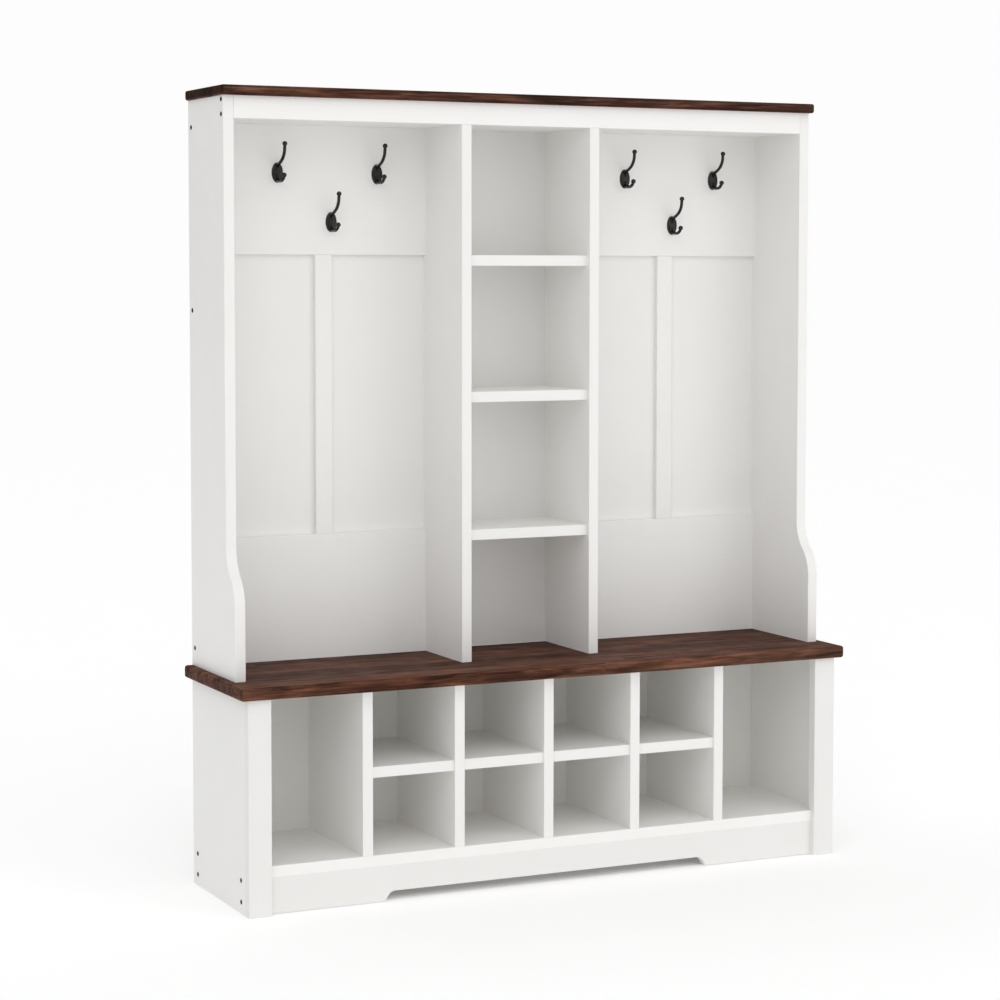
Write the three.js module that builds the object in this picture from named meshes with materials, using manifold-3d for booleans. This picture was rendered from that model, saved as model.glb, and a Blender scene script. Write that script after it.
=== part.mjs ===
// Hall tree with a storage bench, an open hutch and double coat hooks.
// Millimetres, +Z up, +X to the right as you face it, the front towards -Y.
// The origin is on the floor, at the middle of the overall footprint.
import * as THREE from 'three';
import { mergeVertices } from 'three/addons/utils/BufferGeometryUtils.js';
import Module from 'manifold-3d';

const wasm = await Module();
wasm.setup();

// ---- Driving dimensions -------------------------------------------------

const WIDTH = 1500; // over the outer faces of the sides
const BOARD = 25; // sides, dividers, shelves, rails
const REAR = 196; // rear edge of the sides

// Base, from the floor to the bench top.
const STILE_WIDTH = 54;
const BASE_FRONT = -182; // front face of the stiles
const SETBACK = 14; // apron and bottom panel, behind the stile face
const FLOOR_CLEARANCE = 18; // under the two plinth rails
const APRON_FOOT = 2; // the apron hangs just clear of the floor
const BOTTOM_UNDERSIDE = 84;
const BENCH_UNDERSIDE = 482;
const BENCH_THICKNESS = 28;
const BENCH_SIDE_OVERHANG = 20;
const BENCH_EDGE_RADIUS = 6;
const SLAB_CORNER = 2; // extra corner radius of both walnut boards, seen from above
const SLAB_EDGE_STEPS = 3;
const SLAB_CORNER_STEPS = 2;
const REAR_RAIL_FRONT = 152;
const BASE_BACK_FRONT = 166;
const BASE_BACK_THICKNESS = 6;
const GROOVE_DEPTH = 6;
const GROOVE_CLEARANCE = 0.25;

// Shoe cubbies between the base dividers.
const CUBBY_WIDTH = 200;
const CUBBY_COLUMNS = 4;
const FIRST_DIVIDER = -476; // left face of the left divider
const CUBBY_SHELF_UNDERSIDE = 283;
const CUBBY_SHELF_SETBACK = 6; // behind the divider fronts

// Low arch along the foot of the apron.
const ARCH_CENTRE = -9;
const ARCH_FOOT_WIDTH = 830;
const ARCH_HEIGHT = 24;
const ARCH_FLARE = 16; // how far each end leans out from its corner to the floor
const ARCH_RADIUS = 22;

// Hutch, from the bench top to the top board.
const HUTCH_FRONT = -44;
const HUTCH_FOOT_FRONT = -100;
const HUTCH_TOP = 1798;
const SWEEP_START = 672; // the front edge of a hutch side sweeps back between these heights
const SWEEP_END = 804;
const SWEEP_SEGMENTS = 10;
const RAIL_HEIGHT = 50;
const CENTRE_WIDTH = 304; // between the two uprights
const CENTRE_SHELF_UNDERSIDES = [791, 1111, 1426];
const CENTRE_SHELF_SETBACK = 14;
const TOP_BOARD_THICKNESS = 22;
const TOP_BOARD_SIDE_OVERHANG = 8;
const TOP_BOARD_FRONT = -60;
const TOP_BOARD_EDGE_RADIUS = 5;

// Back of the two coat bays.
const BACK_BOARD_FRONT = 166;
const BACK_BOARD_THICKNESS = 16;
const THIN_PANEL = 4;
const REBATE_HEIGHT = 12;
const REBATE_CLEARANCE = 0.5;
const HOOK_BOARD_UNDERSIDE = 1451;
const LOWER_BOARD_TOP = 801;
const BATTEN_WIDTH = 42;
const BATTEN_OFFSET = 291; // batten centre from the left wall of its bay

// Coat hooks: two above and one between and below them, the same in both bays.
const HOOK_PLACES = [
  { offset: 178, height: 1639 },
  { offset: 425, height: 1639 },
  { offset: 310, height: 1527 },
];
const PLATE_WIDTH = 27.5;
const PLATE_HEIGHT = 46.5;
const PLATE_THICKNESS = 4;
const PLATE_BEVEL = 1;
const PLATE_STEPS = 10;
const PRONG_RADIUS = 3.6;
const BALL_RADIUS = 5.6;
const UPPER_PRONG = [[2, 17], [19, 22], [36, 31], [47.5, 45], [51, 64]]; // out, up
const LOWER_PRONG = [[2, -17], [17, -19.5], [31, -19], [41, -14], [45.5, -7]];
const PRONG_STEPS = 9;
const PRONG_ARC_STEPS = 4;
const BALL_SIDES = 10;
const BALL_RINGS = 6;
const SCREW_SPACING = 17;
const SCREW_RADIUS = 2;
const SCREW_HEAD_RADIUS = 3.8;
const SCREW_HEAD_HEIGHT = 1.8;
const SCREW_SHOULDER = { radius: 0.8, height: 0.7 }; // shares of the head's
const SCREW_DEPTH = 14;
const SCREW_HOLE_RADIUS = 2.25;
const SCREW_SIDES = 10;
const DRILL_OVERRUN = 1;
const MERGE_DISTANCE = 1e-4;

// ---- Derived levels -----------------------------------------------------

const OUTER = WIDTH / 2;
const INNER = OUTER - BOARD;
const APRON_FRONT = BASE_FRONT + SETBACK;
const APRON_REAR = APRON_FRONT + BOARD;
const BOTTOM_TOP = BOTTOM_UNDERSIDE + BOARD;
const BENCH_TOP = BENCH_UNDERSIDE + BENCH_THICKNESS;
const CEILING = HUTCH_TOP - RAIL_HEIGHT;
const UPRIGHT_INNER = CENTRE_WIDTH / 2;
const UPRIGHT_OUTER = UPRIGHT_INNER + BOARD;
const UPRIGHT_REAR = REAR - THIN_PANEL;
const BACK_BOARD_REAR = BACK_BOARD_FRONT + BACK_BOARD_THICKNESS;
const BAY_PANEL_FRONT = BACK_BOARD_REAR - THIN_PANEL;
const BAYS = [
  { side: 'left', from: -INNER, to: -UPRIGHT_OUTER },
  { side: 'right', from: UPRIGHT_OUTER, to: INNER },
];

// ---- Finishes -----------------------------------------------------------

const FINISHES = {
  paint: { color: 0xecebe8, roughness: 0.5, metalness: 0 },
  walnut: { color: 0x4a2718, roughness: 0.45, metalness: 0 },
  iron: { color: 0x1b1a19, roughness: 0.5, metalness: 0.6 },
};

// ---- Building blocks ----------------------------------------------------

function mesh(name, finish, geometry) {
  const piece = new THREE.Mesh(geometry, new THREE.MeshStandardMaterial(FINISHES[finish]));
  piece.name = name;
  return piece;
}

// A plain board between two limits on each axis.
function board(name, finish, [x0, x1], [y0, y1], [z0, z1]) {
  const piece = mesh(name, finish, new THREE.BoxGeometry(x1 - x0, y1 - y0, z1 - z0));
  piece.position.set((x0 + x1) / 2, (y0 + y1) / 2, (z0 + z1) / 2);
  return piece;
}

function outline(points) {
  return new THREE.Shape(points.map(([a, b]) => new THREE.Vector2(a, b)));
}

// A plan outline (x, y), raised from z0.
function raise(shape, z0, height) {
  const geometry = new THREE.ExtrudeGeometry(shape, { depth: height, bevelEnabled: false });
  return geometry.translate(0, 0, z0);
}

// A side outline (y, z), swept along X from x0.
function sweepAcross(shape, x0, width) {
  const geometry = new THREE.ExtrudeGeometry(shape, { depth: width, bevelEnabled: false });
  const turn = new THREE.Matrix4().makeBasis(
    new THREE.Vector3(0, 1, 0),
    new THREE.Vector3(0, 0, 1),
    new THREE.Vector3(1, 0, 0),
  );
  return geometry.applyMatrix4(turn).translate(x0, 0, 0);
}

// A front outline (x, z), swept back along Y from y0.
function sweepBack(shape, y0, depth) {
  const geometry = new THREE.ExtrudeGeometry(shape, { depth, bevelEnabled: false });
  const turn = new THREE.Matrix4().makeBasis(
    new THREE.Vector3(1, 0, 0),
    new THREE.Vector3(0, 0, 1),
    new THREE.Vector3(0, -1, 0),
  );
  return geometry.applyMatrix4(turn).translate(0, y0 + depth, 0);
}

// A board lying flat with its edges rounded over and its corners rounded a little more.
function roundedSlab(name, finish, [x0, x1], [y0, y1], [z0, z1], radius) {
  const shape = new THREE.Shape();
  const inset = radius + SLAB_CORNER;
  const corners = [
    [x1 - inset, y0 + inset, -Math.PI / 2],
    [x1 - inset, y1 - inset, 0],
    [x0 + inset, y1 - inset, Math.PI / 2],
    [x0 + inset, y0 + inset, Math.PI],
  ];
  for (const [x, y, start] of corners) {
    shape.absarc(x, y, SLAB_CORNER, start, start + Math.PI / 2, false);
  }
  const geometry = new THREE.ExtrudeGeometry(shape, {
    depth: z1 - z0 - 2 * radius,
    bevelThickness: radius,
    bevelSize: radius,
    bevelSegments: SLAB_EDGE_STEPS,
    curveSegments: SLAB_CORNER_STEPS,
  });
  return mesh(name, finish, geometry.translate(0, 0, z0 + radius));
}

// ---- Joining and cutting ------------------------------------------------

function solid(geometry) {
  const bare = geometry.clone();
  bare.deleteAttribute('normal');
  bare.deleteAttribute('uv');
  const merged = mergeVertices(bare, MERGE_DISTANCE);
  return new wasm.Manifold(new wasm.Mesh({
    numProp: 3,
    vertProperties: new Float32Array(merged.attributes.position.array),
    triVerts: new Uint32Array(merged.index.array),
  }));
}

function geometryOf(manifold) {
  const { vertProperties, triVerts } = manifold.getMesh();
  const geometry = new THREE.BufferGeometry();
  geometry.setAttribute('position', new THREE.BufferAttribute(vertProperties, 3));
  geometry.setIndex(new THREE.BufferAttribute(triVerts, 1));
  geometry.computeVertexNormals();
  return geometry;
}

// A round bar along Y, between two depths.
function barAlongY(radius, x, z, y0, y1) {
  const bar = new THREE.CylinderGeometry(radius, radius, y1 - y0, SCREW_SIDES);
  return bar.translate(x, (y0 + y1) / 2, z);
}

// ---- Base ---------------------------------------------------------------

// Each side carries a full-height groove that takes the edge of the back panel.
function baseSide(name, sign) {
  const groove = INNER + GROOVE_DEPTH;
  const front = BASE_FRONT + BOARD;
  const grooveFront = BASE_BACK_FRONT - GROOVE_CLEARANCE;
  const grooveRear = BASE_BACK_FRONT + BASE_BACK_THICKNESS + GROOVE_CLEARANCE;
  const points = [
    [OUTER, front],
    [OUTER, REAR],
    [INNER, REAR],
    [INNER, grooveRear],
    [groove, grooveRear],
    [groove, grooveFront],
    [INNER, grooveFront],
    [INNER, front],
  ];
  const plan = points.map(([x, y]) => [sign * x, y]);
  return mesh(name, 'paint', raise(outline(plan), 0, BENCH_UNDERSIDE));
}

function baseStile(name, sign) {
  const inner = OUTER - STILE_WIDTH;
  const span = sign < 0 ? [-OUTER, -inner] : [inner, OUTER];
  return board(name, 'paint', span, [BASE_FRONT, BASE_FRONT + BOARD], [0, BENCH_UNDERSIDE]);
}

// The bottom panel is notched at its front corners, round the stiles.
function bottomPanel() {
  const notch = OUTER - STILE_WIDTH;
  const shoulder = BASE_FRONT + BOARD;
  const plan = outline([
    [-notch, APRON_FRONT],
    [notch, APRON_FRONT],
    [notch, shoulder],
    [INNER, shoulder],
    [INNER, REAR],
    [-INNER, REAR],
    [-INNER, shoulder],
    [-notch, shoulder],
  ]);
  return mesh('bottom_panel', 'paint', raise(plan, BOTTOM_UNDERSIDE, BOARD));
}

// The apron's foot is cut away in a low arch with leaning, rounded ends.
function apron() {
  const end = OUTER - STILE_WIDTH;
  const left = ARCH_CENTRE - ARCH_FOOT_WIDTH / 2;
  const right = ARCH_CENTRE + ARCH_FOOT_WIDTH / 2;
  const lean = ARCH_FLARE / ARCH_HEIGHT;
  const easing = ARCH_RADIUS * Math.tan((Math.PI / 2 - Math.atan(lean)) / 2);
  const slope = Math.hypot(1, lean);
  const drop = easing / slope;
  const shape = new THREE.Shape();
  shape.moveTo(-end, APRON_FOOT);
  shape.lineTo(left + lean * APRON_FOOT, APRON_FOOT);
  shape.lineTo(left + ARCH_FLARE - lean * drop, ARCH_HEIGHT - drop);
  shape.quadraticCurveTo(left + ARCH_FLARE, ARCH_HEIGHT, left + ARCH_FLARE + easing, ARCH_HEIGHT);
  shape.lineTo(right - ARCH_FLARE - easing, ARCH_HEIGHT);
  shape.quadraticCurveTo(
    right - ARCH_FLARE, ARCH_HEIGHT,
    right - ARCH_FLARE + lean * drop, ARCH_HEIGHT - drop,
  );
  shape.lineTo(right - lean * APRON_FOOT, APRON_FOOT);
  shape.lineTo(end, APRON_FOOT);
  shape.lineTo(end, BOTTOM_UNDERSIDE);
  shape.lineTo(-end, BOTTOM_UNDERSIDE);
  return mesh('apron', 'paint', sweepBack(shape, APRON_FRONT, BOARD));
}

function plinthRail(name, front) {
  return board(name, 'paint', [-INNER, INNER], [front, front + BOARD],
    [FLOOR_CLEARANCE, BOTTOM_UNDERSIDE]);
}

function baseDividersAndShelves() {
  const pieces = [];
  const pitch = CUBBY_WIDTH + BOARD;
  for (let column = 0; column <= CUBBY_COLUMNS; column += 1) {
    const left = FIRST_DIVIDER + column * pitch;
    pieces.push(board(`base_divider_${column + 1}`, 'paint', [left, left + BOARD],
      [APRON_FRONT, BASE_BACK_FRONT], [BOTTOM_TOP, BENCH_UNDERSIDE]));
    if (column < CUBBY_COLUMNS) {
      pieces.push(board(`cubby_shelf_${column + 1}`, 'paint', [left + BOARD, left + pitch],
        [APRON_FRONT + CUBBY_SHELF_SETBACK, BASE_BACK_FRONT],
        [CUBBY_SHELF_UNDERSIDE, CUBBY_SHELF_UNDERSIDE + BOARD]));
    }
  }
  return pieces;
}

function base() {
  const group = new THREE.Group();
  const backHalf = INNER + GROOVE_DEPTH - 2 * GROOVE_CLEARANCE;
  group.add(
    baseSide('base_side_left', -1),
    baseSide('base_side_right', 1),
    baseStile('base_stile_left', -1),
    baseStile('base_stile_right', 1),
    bottomPanel(),
    apron(),
    plinthRail('plinth_rail_front', APRON_REAR),
    plinthRail('plinth_rail_rear', REAR_RAIL_FRONT),
    ...baseDividersAndShelves(),
    board('base_back_panel', 'paint', [-backHalf, backHalf],
      [BASE_BACK_FRONT, BASE_BACK_FRONT + BASE_BACK_THICKNESS], [BOTTOM_TOP, BENCH_UNDERSIDE]),
    roundedSlab('bench_top', 'walnut',
      [-OUTER - BENCH_SIDE_OVERHANG, OUTER + BENCH_SIDE_OVERHANG], [-REAR, REAR],
      [BENCH_UNDERSIDE, BENCH_TOP], BENCH_EDGE_RADIUS),
  );
  return group;
}

// ---- Hutch --------------------------------------------------------------

// The front edge of a hutch side runs down, sweeps forward in an S and ends in a deeper foot.
// The S is two equal arcs that meet halfway, each upright at its far end.
function hutchSide(name, x0) {
  const rise = SWEEP_END - SWEEP_START;
  const reach = HUTCH_FRONT - HUTCH_FOOT_FRONT;
  const radius = (rise * rise + reach * reach) / (4 * reach);
  const turn = 2 * Math.atan2(reach, rise);
  const shape = new THREE.Shape();
  shape.moveTo(REAR, BENCH_TOP);
  shape.lineTo(REAR, HUTCH_TOP);
  shape.lineTo(HUTCH_FRONT, HUTCH_TOP);
  shape.lineTo(HUTCH_FRONT, SWEEP_END);
  shape.absarc(HUTCH_FRONT - radius, SWEEP_END, radius, 0, -turn, true);
  shape.absarc(HUTCH_FOOT_FRONT + radius, SWEEP_START, radius, Math.PI - turn, Math.PI, false);
  shape.lineTo(HUTCH_FOOT_FRONT, BENCH_TOP);
  const points = shape.extractPoints(SWEEP_SEGMENTS).shape;
  return mesh(name, 'paint', sweepAcross(new THREE.Shape(points), x0, BOARD));
}

function centreColumn() {
  const pieces = [
    board('hutch_upright_left', 'paint', [-UPRIGHT_OUTER, -UPRIGHT_INNER],
      [HUTCH_FRONT, UPRIGHT_REAR], [BENCH_TOP, CEILING]),
    board('hutch_upright_right', 'paint', [UPRIGHT_INNER, UPRIGHT_OUTER],
      [HUTCH_FRONT, UPRIGHT_REAR], [BENCH_TOP, CEILING]),
    board('centre_back_panel', 'paint', [-UPRIGHT_OUTER, UPRIGHT_OUTER],
      [UPRIGHT_REAR, REAR], [BENCH_TOP, CEILING]),
  ];
  CENTRE_SHELF_UNDERSIDES.forEach((underside, index) => {
    pieces.push(board(`centre_shelf_${index + 1}`, 'paint', [-UPRIGHT_INNER, UPRIGHT_INNER],
      [HUTCH_FRONT + CENTRE_SHELF_SETBACK, UPRIGHT_REAR], [underside, underside + BOARD]));
  });
  return pieces;
}

function canopy() {
  return [
    board('top_rail_front', 'paint', [-INNER, INNER],
      [HUTCH_FRONT, HUTCH_FRONT + BOARD], [CEILING, HUTCH_TOP]),
    board('ceiling_panel', 'paint', [-INNER, INNER],
      [HUTCH_FRONT + BOARD, REAR], [CEILING, CEILING + BOARD]),
    board('top_rail_rear', 'paint', [-INNER, INNER],
      [REAR - BOARD, REAR], [CEILING + BOARD, HUTCH_TOP]),
    roundedSlab('top_board', 'walnut',
      [-OUTER - TOP_BOARD_SIDE_OVERHANG, OUTER + TOP_BOARD_SIDE_OVERHANG],
      [TOP_BOARD_FRONT, REAR], [HUTCH_TOP, HUTCH_TOP + TOP_BOARD_THICKNESS],
      TOP_BOARD_EDGE_RADIUS),
  ];
}

// The boards at the back of a bay are rebated behind, where the thin panel lies.
function rebatedBoard(bay, z0, z1, rebateAtTop) {
  const step = rebateAtTop ? z1 - REBATE_HEIGHT : z0 + REBATE_HEIGHT;
  const full = rebateAtTop ? z0 : z1;
  const cut = rebateAtTop ? z1 : z0;
  const profile = outline([
    [BACK_BOARD_FRONT, full],
    [BACK_BOARD_REAR, full],
    [BACK_BOARD_REAR, step],
    [BAY_PANEL_FRONT, step],
    [BAY_PANEL_FRONT, cut],
    [BACK_BOARD_FRONT, cut],
  ]);
  return sweepAcross(profile, bay.from, bay.to - bay.from);
}

function screwPlaces(bay) {
  return HOOK_PLACES.flatMap(({ offset, height }) => [
    [bay.from + offset, height + SCREW_SPACING / 2],
    [bay.from + offset, height - SCREW_SPACING / 2],
  ]);
}

function hookBoard(bay) {
  let body = solid(rebatedBoard(bay, HOOK_BOARD_UNDERSIDE, CEILING, false));
  for (const [x, z] of screwPlaces(bay)) {
    const hole = barAlongY(SCREW_HOLE_RADIUS, x, z, BACK_BOARD_FRONT - DRILL_OVERRUN,
      BACK_BOARD_FRONT + SCREW_DEPTH + DRILL_OVERRUN);
    body = body.subtract(solid(hole));
  }
  return mesh(`hook_board_${bay.side}`, 'paint', geometryOf(body));
}

function bayBack(bay) {
  const batten = bay.from + BATTEN_OFFSET;
  return [
    hookBoard(bay),
    mesh(`lower_back_board_${bay.side}`, 'paint',
      rebatedBoard(bay, BENCH_TOP, LOWER_BOARD_TOP, true)),
    board(`bay_panel_${bay.side}`, 'paint', [bay.from, bay.to],
      [BAY_PANEL_FRONT, BACK_BOARD_REAR],
      [LOWER_BOARD_TOP - REBATE_HEIGHT + REBATE_CLEARANCE,
        HOOK_BOARD_UNDERSIDE + REBATE_HEIGHT - REBATE_CLEARANCE]),
    board(`back_batten_${bay.side}`, 'paint',
      [batten - BATTEN_WIDTH / 2, batten + BATTEN_WIDTH / 2],
      [BACK_BOARD_FRONT, BAY_PANEL_FRONT], [LOWER_BOARD_TOP, HOOK_BOARD_UNDERSIDE]),
  ];
}

// ---- Coat hooks ---------------------------------------------------------

function prong(points) {
  const path = new THREE.CatmullRomCurve3(points.map(([out, up]) => new THREE.Vector3(0, -out, up)));
  const section = new THREE.Shape().absarc(0, 0, PRONG_RADIUS, 0, 2 * Math.PI, false);
  return new THREE.ExtrudeGeometry(section, {
    extrudePath: path,
    steps: PRONG_STEPS,
    curveSegments: PRONG_ARC_STEPS,
  });
}

function ball([out, up]) {
  return new THREE.SphereGeometry(BALL_RADIUS, BALL_SIDES, BALL_RINGS).translate(0, -out, up);
}

// One casting: an oval plate, a long upper prong and a short lower one, both ending in balls.
// Its origin is the middle of the plate's back.
function hookGeometry() {
  const halfWidth = PLATE_WIDTH / 2 - PLATE_BEVEL;
  const halfHeight = PLATE_HEIGHT / 2 - PLATE_BEVEL;
  const oval = new THREE.Shape().absellipse(0, 0, halfWidth, halfHeight, 0, 2 * Math.PI, false, 0);
  const plate = new THREE.ExtrudeGeometry(oval, {
    depth: PLATE_THICKNESS - PLATE_BEVEL,
    bevelThickness: PLATE_BEVEL,
    bevelSize: PLATE_BEVEL,
    bevelSegments: 1,
    curveSegments: PLATE_STEPS,
  });
  plate.rotateX(Math.PI / 2);
  const room = new THREE.BoxGeometry(PLATE_WIDTH * 2, PLATE_THICKNESS, PLATE_HEIGHT * 2);
  let body = solid(plate).intersect(solid(room.translate(0, -PLATE_THICKNESS / 2, 0)));
  for (const points of [UPPER_PRONG, LOWER_PRONG]) {
    body = body.add(solid(prong(points)));
    body = body.add(solid(ball(points[points.length - 1])));
  }
  for (const z of [SCREW_SPACING / 2, -SCREW_SPACING / 2]) {
    body = body.subtract(solid(
      barAlongY(SCREW_HOLE_RADIUS, 0, z, -PLATE_THICKNESS - DRILL_OVERRUN, DRILL_OVERRUN),
    ));
  }
  return geometryOf(body);
}

// A round-head screw along Y, its head resting on the plate and its shank in the board.
function screwGeometry() {
  const profile = [
    [0, -SCREW_DEPTH],
    [SCREW_RADIUS, -SCREW_DEPTH + SCREW_RADIUS],
    [SCREW_RADIUS, PLATE_THICKNESS],
    [SCREW_HEAD_RADIUS, PLATE_THICKNESS],
    [SCREW_HEAD_RADIUS * SCREW_SHOULDER.radius,
      PLATE_THICKNESS + SCREW_HEAD_HEIGHT * SCREW_SHOULDER.height],
    [0, PLATE_THICKNESS + SCREW_HEAD_HEIGHT],
  ].map(([radius, out]) => new THREE.Vector2(radius, out));
  return new THREE.LatheGeometry(profile, SCREW_SIDES).rotateX(Math.PI);
}

function hooks() {
  const pieces = [];
  const casting = hookGeometry();
  const screw = screwGeometry();
  let count = 0;
  for (const bay of BAYS) {
    for (const { offset, height } of HOOK_PLACES) {
      count += 1;
      const hook = mesh(`coat_hook_${count}`, 'iron', casting.clone());
      hook.position.set(bay.from + offset, BACK_BOARD_FRONT, height);
      pieces.push(hook);
      for (const [place, sign] of [['upper', 1], ['lower', -1]]) {
        const fixing = mesh(`hook_screw_${count}_${place}`, 'iron', screw.clone());
        fixing.position.copy(hook.position);
        fixing.position.z += (sign * SCREW_SPACING) / 2;
        pieces.push(fixing);
      }
    }
  }
  return pieces;
}

function hutch() {
  const group = new THREE.Group();
  group.add(
    hutchSide('hutch_side_left', -OUTER),
    hutchSide('hutch_side_right', INNER),
    ...centreColumn(),
    ...canopy(),
    ...BAYS.flatMap(bayBack),
    ...hooks(),
  );
  return group;
}

const hallTree = new THREE.Group();
hallTree.name = 'hall_tree';
hallTree.add(base(), hutch());

export default hallTree;
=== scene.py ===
"""Hall tree with hooks: the visible boards, hooks, screws, finishes and studio, built on the frame.

Lengths are metres. +Z is up, +X is to the right as you face the object, and its front faces -Y.
"""

import logging
import math
import random
from collections.abc import Callable, Iterable, Sequence
from dataclasses import dataclass, field
from enum import Enum
from functools import partial

import bmesh
import bpy
from mathutils import Euler, Matrix, Vector


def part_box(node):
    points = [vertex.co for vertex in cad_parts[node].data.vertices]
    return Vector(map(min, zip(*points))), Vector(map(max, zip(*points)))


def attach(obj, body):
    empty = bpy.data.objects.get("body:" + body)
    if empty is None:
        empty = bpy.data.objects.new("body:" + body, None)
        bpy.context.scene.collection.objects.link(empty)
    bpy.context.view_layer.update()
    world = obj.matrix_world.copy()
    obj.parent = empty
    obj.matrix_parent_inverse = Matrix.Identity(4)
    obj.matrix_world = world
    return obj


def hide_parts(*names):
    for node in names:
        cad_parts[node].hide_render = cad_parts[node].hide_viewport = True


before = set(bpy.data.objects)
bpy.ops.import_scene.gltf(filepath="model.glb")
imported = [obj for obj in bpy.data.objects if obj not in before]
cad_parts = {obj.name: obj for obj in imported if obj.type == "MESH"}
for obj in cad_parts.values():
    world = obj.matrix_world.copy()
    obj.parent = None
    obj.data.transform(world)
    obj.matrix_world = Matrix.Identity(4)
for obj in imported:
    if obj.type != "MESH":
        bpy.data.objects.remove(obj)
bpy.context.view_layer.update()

LOG = logging.getLogger("hall_tree")
BODY = "root"
SPACE = "board_space"  # where a point lies in its timber, in metres, with X along the grain
EASED = "eased_edge"  # 1 on the faces of an eased edge
END_GRAIN = "end_grain"  # 1 on the faces that cut across the grain
PRIMED = "primed_face"  # 1 where a walnut board is taken to be primed, not stained
SHARP_ANGLE = math.radians(40)
SQUARE_ON = 0.99  # two directions whose product is above this count as the same
MERGE_DISTANCE = 1e-6
TIMBER_SPREAD = 6.0  # how far from the origin a piece's timber may be cut, in metres
MOST_NOISE = (0.3, 0.7)  # where nearly all the values of a noise lie
UNIT = (0.0, 1.0)
WHITE = (1.0, 1.0, 1.0, 1.0)
Outline = list[tuple[float, float]]
Span = tuple[float, float]
Triple = tuple[float, float, float]
Colour = tuple[float, float, float, float]


class Coat(Enum):
    """The coats that pieces take: each one's slot in the record, and its material's name."""

    BOARD = ("painted_board", "white_paint")
    # Painted light: the plain white made lighter, for the top front rail and the bottom panel.
    BRIGHT_BOARD = ("painted_board", "bright_white_paint")
    # Painted shade: the plain white made darker, for the apron and the base stiles.
    SOFT_BOARD = ("painted_board", "soft_white_paint")
    # The thin panels' white is made a little darker than the boards', which is painted shade.
    PANEL = ("painted_panel", "panel_paint")
    # Painted shade: the panel white made darker still, for the centre back panel.
    CENTRE_PANEL = ("painted_panel", "dull_panel_paint")
    WALNUT = ("walnut_board", "stained_walnut")
    DARK_ENDED_WALNUT = ("walnut_board", "dark_ended_walnut")
    IRON = ("black_iron", "black_casting")
    SCREW = ("black_screw", "black_screw")

    @property
    def slot(self) -> str:
        """The coat's slot in the record."""
        return self.value[0]


class Axis(Enum):
    """One of the three directions of the frame."""

    X = 0
    Y = 1
    Z = 2


class Face(Enum):
    """The direction that a face of a board looks in."""

    LEFT = (-1.0, 0.0, 0.0)
    RIGHT = (1.0, 0.0, 0.0)
    FRONT = (0.0, -1.0, 0.0)
    REAR = (0.0, 1.0, 0.0)
    UNDER = (0.0, 0.0, -1.0)
    TOP = (0.0, 0.0, 1.0)


class Side(Enum):
    """Left or right, as you face the object; the value is its sign along X."""

    LEFT = -1
    RIGHT = 1

    @property
    def word(self) -> str:
        """The side's name as the nodes spell it."""
        return self.name.lower()


class Recess(Enum):
    """The drive that is pressed into a screw's head."""

    CROSS = "cross"
    HEX = "hex"


# ---- Finishes ------------------------------------------------------------------------------


class Nodes:
    """A node tree, with short ways to add nodes and join them."""

    def __init__(self, owner: bpy.types.ID) -> None:
        """Starts an empty tree.

        Args:
            owner: The material or world that the tree belongs to.
        """
        owner.use_nodes = True
        self.tree = owner.node_tree
        self.tree.nodes.clear()

    def add(self, kind: str, inputs: dict | None = None, **settings: object) -> bpy.types.Node:
        """Adds a node.

        Args:
            kind: The node's Blender type.
            inputs: Values or sockets for its inputs, by name or number.
            settings: Values for its own settings.

        Returns:
            The new node.
        """
        node = self.tree.nodes.new(kind)
        for key, value in settings.items():
            setattr(node, key, value)
        for key, value in (inputs or {}).items():
            self.feed(node.inputs[key], value)
        return node

    def feed(self, socket: bpy.types.NodeSocket, value: object) -> None:
        """Links a socket to another socket, or sets its value.

        Args:
            socket: The input to feed.
            value: An output socket, a number or a colour.
        """
        if isinstance(value, bpy.types.NodeSocket):
            self.tree.links.new(value, socket)
        else:
            socket.default_value = value

    def maths(self, operation: str, *values: object) -> bpy.types.NodeSocket:
        """The result of a Math node on one, two or three values."""
        node = self.add("ShaderNodeMath", dict(enumerate(values)), operation=operation)
        return node.outputs[0]


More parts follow.
